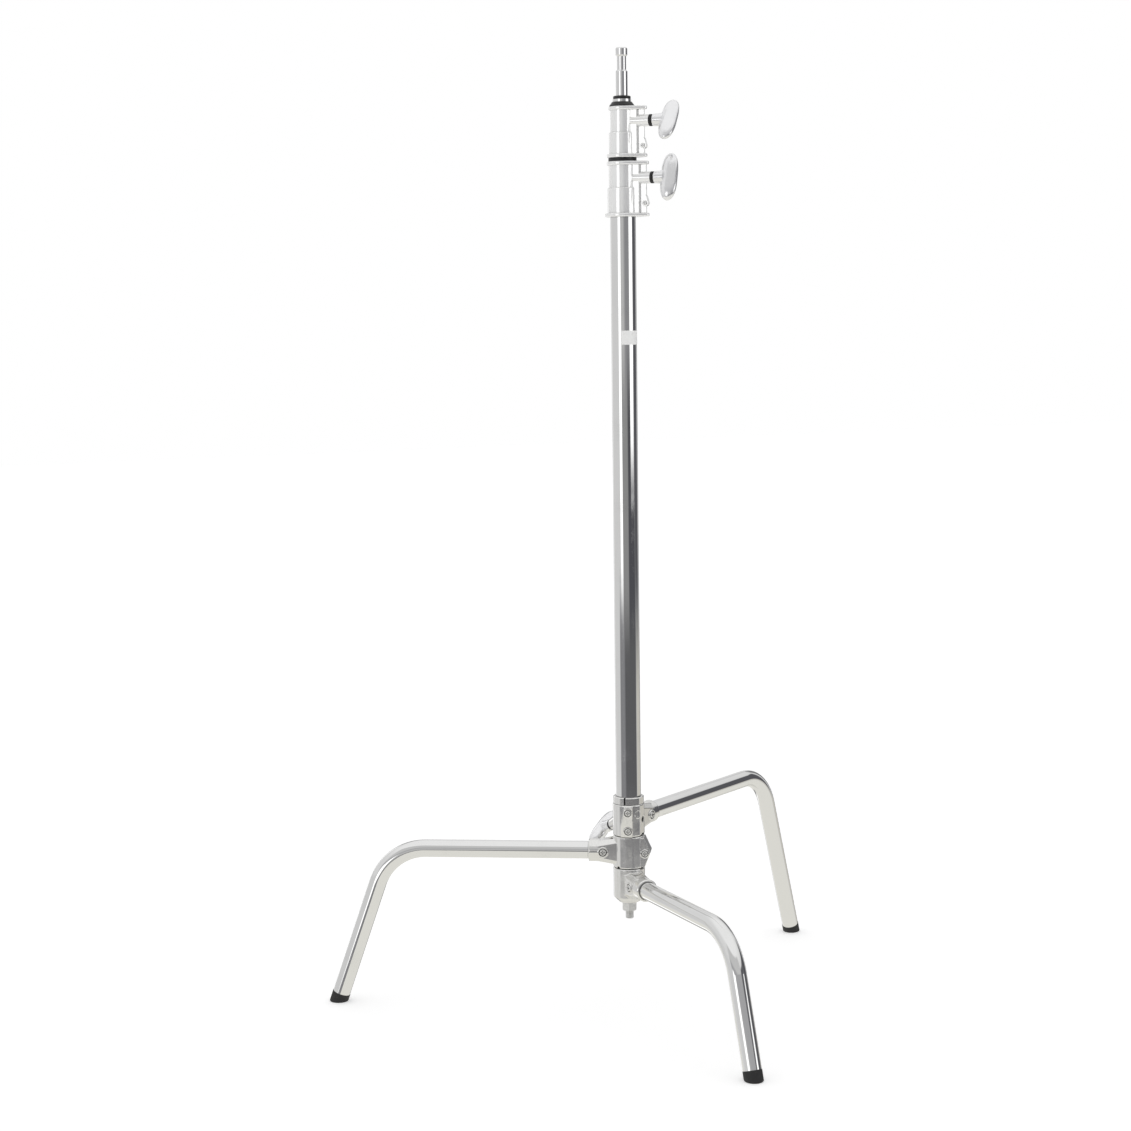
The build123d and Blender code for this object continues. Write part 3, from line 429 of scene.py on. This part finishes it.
CHROME_TINT = (0.86, 0.86, 0.855, 1)
CHROME_ROUGH = 0.045
BRIGHT_CASTING = (0.86, 0.855, 0.84, 1)
COLLAR_TINT, HANDLE_TINT = (0.96, 0.96, 0.955, 1), (0.96, 0.96, 0.97, 1)
# Finishes below that set their own reach and darkest share of painted shade in joints: collar plate,
# handle casting and sleeve casting.
SLOT_LOOKS = {
    "chrome_tube": plated("chrome_upright", CHROME_TINT, CHROME_ROUGH, upright_lines),
    "base_casting": cast_metal("base_cast", BRIGHT_CASTING, 0.09, 0.008 * MM),
    "collar_casting": plated(
        "collar_plate", COLLAR_TINT, 0.07, upright_lines, edge=0.25 * MM, waviness=0.004 * MM,
        metallic=0.5, painted_shade=(1.5 * MM, 0.55),
    ),
    "polished_handle": cast_metal(
        "handle_cast", HANDLE_TINT, 0.15, 0.005 * MM, painted_shade=(5.0 * MM, 0.75), metallic=0.85
    ),
    "steel": mottled_metal("zinc_steel", (0.93, 0.93, 0.92, 1), 0.24),
    "pin_steel": plated("pin_turned", (0.84, 0.84, 0.84, 1), 0.08, turned_lines),
    "black_rubber": moulded("rubber", (0.018, 0.018, 0.019, 1), 0.55, 1400.0, 0.03 * MM, 0.25),
    "black_plastic": moulded("plastic", (0.014, 0.014, 0.015, 1), 0.30, 2200.0, 0.012 * MM, 0.12),
    "brass": mottled_metal("brass", (0.72, 0.56, 0.28, 1), 0.25),
    "label_film": film("label_film"),
}
NODE_LOOKS = {
    # The sleeve's painted shade reaches 12 mm and falls nearly to black, so its recesses read as dark.
    "top_sleeve": cast_metal(
        "sleeve_cast", BRIGHT_CASTING, 0.11, 0.010 * MM, painted_shade=(12.0 * MM, 0.03), edge=0.4 * MM
    ),
    "low_bracket": cast_metal("low_cast", BRIGHT_CASTING, 0.15, 0.012 * MM),
    "low_leg_tube": plated("chrome_low_leg", CHROME_TINT, CHROME_ROUGH, leg_lines(-90.0)),
    "middle_leg_tube": plated("chrome_middle_leg", CHROME_TINT, CHROME_ROUGH, leg_lines(150.0)),
    "top_leg_tube": plated("chrome_top_leg", CHROME_TINT, CHROME_ROUGH, leg_lines(30.0)),
}


def look_of(node_name):
    """Material of a CAD node: its own, or the one of its slot."""
    return NODE_LOOKS.get(node_name, SLOT_LOOKS[slot_of[node_name]])


# Meshes


def mesh_object(name, points, faces, body, slot, replaced):
    """New piece of the object, made in the CAD's frame, that stands for CAD nodes."""
    mesh = bpy.data.meshes.new(name)
    mesh.from_pydata([tuple(point) for point in points], [], faces)
    mesh.update()
    mesh.shade_smooth()
    piece = bpy.data.objects.new(name, mesh)
    scene.collection.objects.link(piece)
    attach(piece, body)
    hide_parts(*replaced)
    return piece


def neighbour_mean(points, edges, counts):
    """Mean position of the neighbours of every point."""
    total = np.zeros_like(points)
    np.add.at(total, edges[:, 0], points[edges[:, 1]])
    np.add.at(total, edges[:, 1], points[edges[:, 0]])
    return total / counts[:, None]


STEP_IN, STEP_OUT = 0.5, -0.51


def rounded(points, edges, rounds):
    """Points smoothed without shrinking: a step in, then a slightly longer step out."""
    counts = np.bincount(edges.ravel(), minlength=len(points)).clip(1)
    for _ in range(rounds):
        for weight in (STEP_IN, STEP_OUT):
            points = points + weight * (neighbour_mean(points, edges, counts) - points)
    return points


def true_bore(points, origin, axis, radius, reach=0.4 * MM):
    """Points near a bore's wall put exactly on it, so that the part in it still fits."""
    axis = np.array(axis)
    offset = points - np.array(origin)
    along = offset @ axis
    radial = offset - along[:, None] * axis
    distance = np.linalg.norm(radial, axis=1)
    near = np.abs(distance - radius) < reach
    fixed = np.array(origin) + along[:, None] * axis + radial * (radius / distance.clip(1e-9))[:, None]
    return np.where(near[:, None], fixed, points)


def cast_copy(node_name, voxel, rounds, bores=()):
    """Finer copy of a CAD node with the rounded edges and corners of a casting."""
    source = nodes[node_name]
    piece = bpy.data.objects.new(node_name + "_cast", source.data.copy())
    scene.collection.objects.link(piece)
    remesh = piece.modifiers.new("remesh", "REMESH")
    remesh.mode = "VOXEL"
    remesh.voxel_size = voxel
    shape = piece.evaluated_get(bpy.context.evaluated_depsgraph_get()).to_mesh()
    points = np.empty(len(shape.vertices) * 3)
    shape.vertices.foreach_get("co", points)
    edges = np.empty(len(shape.edges) * 2, dtype=np.int64)
    shape.edges.foreach_get("vertices", edges)
    points, edges = points.reshape(-1, 3), edges.reshape(-1, 2)
    faces = [tuple(face.vertices) for face in shape.polygons]
    bpy.data.objects.remove(piece)
    points = rounded(points, edges, rounds)
    for origin, axis, radius in bores:
        points = true_bore(points, origin, axis, radius)
    low, high = (np.array(corner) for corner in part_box(node_name))
    points = points.clip(low, high)
    body, slot = body_of[node_name], slot_of[node_name]
    return mesh_object(node_name + "_cast", points, faces, body, slot, [node_name])


def axis_frame(origin, direction):
    """Matrix that takes +Z to a direction, at an origin."""
    turn = Vector(direction).to_track_quat("Z", "Y").to_matrix().to_4x4()
    return Matrix.Translation(Vector(origin)) @ turn


def stacked_rings(name, node, place, radius_at, heights, around, bore=0.0):
    """Round piece on an axis with radius_at(angle, height); a bore makes it a ring."""
    angles = [2 * math.pi * step / around for step in range(around)]
    rows = [[(radius_at(a, h), a, h) for a in angles] for h in heights]
    if bore:
        inner_low, inner_high = ([(bore, a, h) for a in angles] for h in (heights[0], heights[-1]))
        rows = [inner_low] + rows + [inner_high]
    points = [place @ Vector((r * math.cos(a), r * math.sin(a), h)) for row in rows for r, a, h in row]
    faces = []
    for row in range(len(rows) - 1):
        for step in range(around):
            here, there = row * around + step, row * around + (step + 1) % around
            faces.append((here, there, there + around, here + around))
    last = (len(rows) - 1) * around
    if bore:
        faces += [(last + s, last + (s + 1) % around, (s + 1) % around, s) for s in range(around)]
    else:
        faces += [tuple(reversed(range(around))), tuple(range(last, last + around))]
    piece = mesh_object(name, points, faces, body_of[node], slot_of[node], [node])
    piece.data.materials.append(look_of(node))
    for polygon in piece.data.polygons:
        polygon.use_smooth = len(polygon.vertices) == 4
    return piece


# Sides round a threaded rod, steps along each pitch, depth as a share of the pitch
THREAD_SIDES, THREAD_STEPS, THREAD_DEPTH = 48, 10, 0.55
RING_SIDES = 180


def threaded(node, origin, direction, low, high, radius, pitch, point=0.8 * MM):
    """Threaded rod between two heights on an axis, with pointed ends."""
    steps = max(2, round((high - low) / pitch * THREAD_STEPS))
    heights = [low + (high - low) * step / steps for step in range(steps + 1)]

    def radius_at(angle, height):
        turn = (height / pitch - angle / (2 * math.pi)) % 1.0
        tooth = radius - THREAD_DEPTH * pitch * abs(2.0 * turn - 1.0)
        return min(tooth, radius - point + (height - low), radius - point + (high - height))

    place = axis_frame(origin, direction)
    stacked_rings(node + "_thread", node, place, radius_at, heights, THREAD_SIDES)


def ribbed_ring(node, origin, direction, low, high, radius, bore, ribs=18, depth=0.55 * MM):
    """Ring with ribs round its rim and softened ends."""
    soft = 0.4 * MM
    heights = [low, low + soft, high - soft, high]

    def radius_at(angle, height):
        rib = depth * (0.5 - 0.5 * math.cos(ribs * angle))
        end = soft if height in (low, high) else 0.0
        return radius - rib - end

    place = axis_frame(origin, direction)
    stacked_rings(node + "_ribbed", node, place, radius_at, heights, RING_SIDES, bore)


# Pieces that stand for CAD nodes

COLUMN_FIT_R, SLEEVE_FIT_R, LOCK_HOLE_R = 17.56 * MM, 19.06 * MM, 5.06 * MM
UP = (0.0, 0.0, 1.0)
LEG_LOCK_AZIMUTH, COLLAR_AZIMUTH = 100.0, -48.0
LEG_LOCK_DROP = math.radians(22.0)
LEG_LOCK_AXIS = out(LEG_LOCK_AZIMUTH) * math.cos(LEG_LOCK_DROP) - Vector(UP) * math.sin(LEG_LOCK_DROP)
COLLAR_AXIS = out(COLLAR_AZIMUTH)
LOCKS = {
    # T-screw: point of its axis on the column's axis, direction, reach of its boss's end
    "lower": ((0, 0, 1164.3 * MM), COLLAR_AXIS, 42.0 * MM),
    "upper": ((0, 0, 1241.0 * MM), COLLAR_AXIS, 40.5 * MM),
    "leg": ((0, 0, 272.0 * MM), LEG_LOCK_AXIS, 40.0 * MM),
}
BRACKET_VOXEL, BRACKET_ROUNDS = 0.55 * MM, 5
HANDLE_VOXEL, HANDLE_ROUNDS = 0.6 * MM, 10
COLUMN_BORE = ((0, 0, 0), UP, COLUMN_FIT_R)
SLEEVE_BORE = ((0, 0, 0), UP, SLEEVE_FIT_R)
LEG_LOCK_BORE = (LOCKS["leg"][0], LEG_LOCK_AXIS, LOCK_HOLE_R)
CASTINGS = [
    # CAD node, voxel size, rounds of smoothing, bores kept at a radius that clears the part in them
    ("low_bracket", BRACKET_VOXEL, BRACKET_ROUNDS, [COLUMN_BORE]),
    ("middle_bracket", BRACKET_VOXEL, BRACKET_ROUNDS, [COLUMN_BORE]),
    ("top_bracket", BRACKET_VOXEL, BRACKET_ROUNDS, [SLEEVE_BORE, LEG_LOCK_BORE]),
    ("lower_handle", HANDLE_VOXEL, HANDLE_ROUNDS, []),
    ("upper_handle", HANDLE_VOXEL, HANDLE_ROUNDS, []),
    ("leg_handle", HANDLE_VOXEL, HANDLE_ROUNDS, []),
]
for node_name, voxel, rounds, bores in CASTINGS:
    piece = cast_copy(node_name, voxel, rounds, bores)
    piece.data.materials.append(look_of(node_name))

BUSH_R, BUSH_LENGTH = 8.15 * MM, 3.5 * MM
STUD_R, STUD_BOTTOM, STUD_TOP, STUD_PITCH = 5.98 * MM, 128.0 * MM, 194.0 * MM, 1.75 * MM
threaded("base_stud", (0, 0, 0), UP, STUD_BOTTOM, STUD_TOP, STUD_R, STUD_PITCH)
for name, (origin, direction, boss_end) in LOCKS.items():
    bush_end = boss_end + BUSH_LENGTH
    ribbed_ring(name + "_lock_bush", origin, direction, boss_end, bush_end, BUSH_R, LOCK_HOLE_R)

for node_name, node in nodes.items():
    for material_slot in node.material_slots:
        material_slot.material = look_of(node_name)
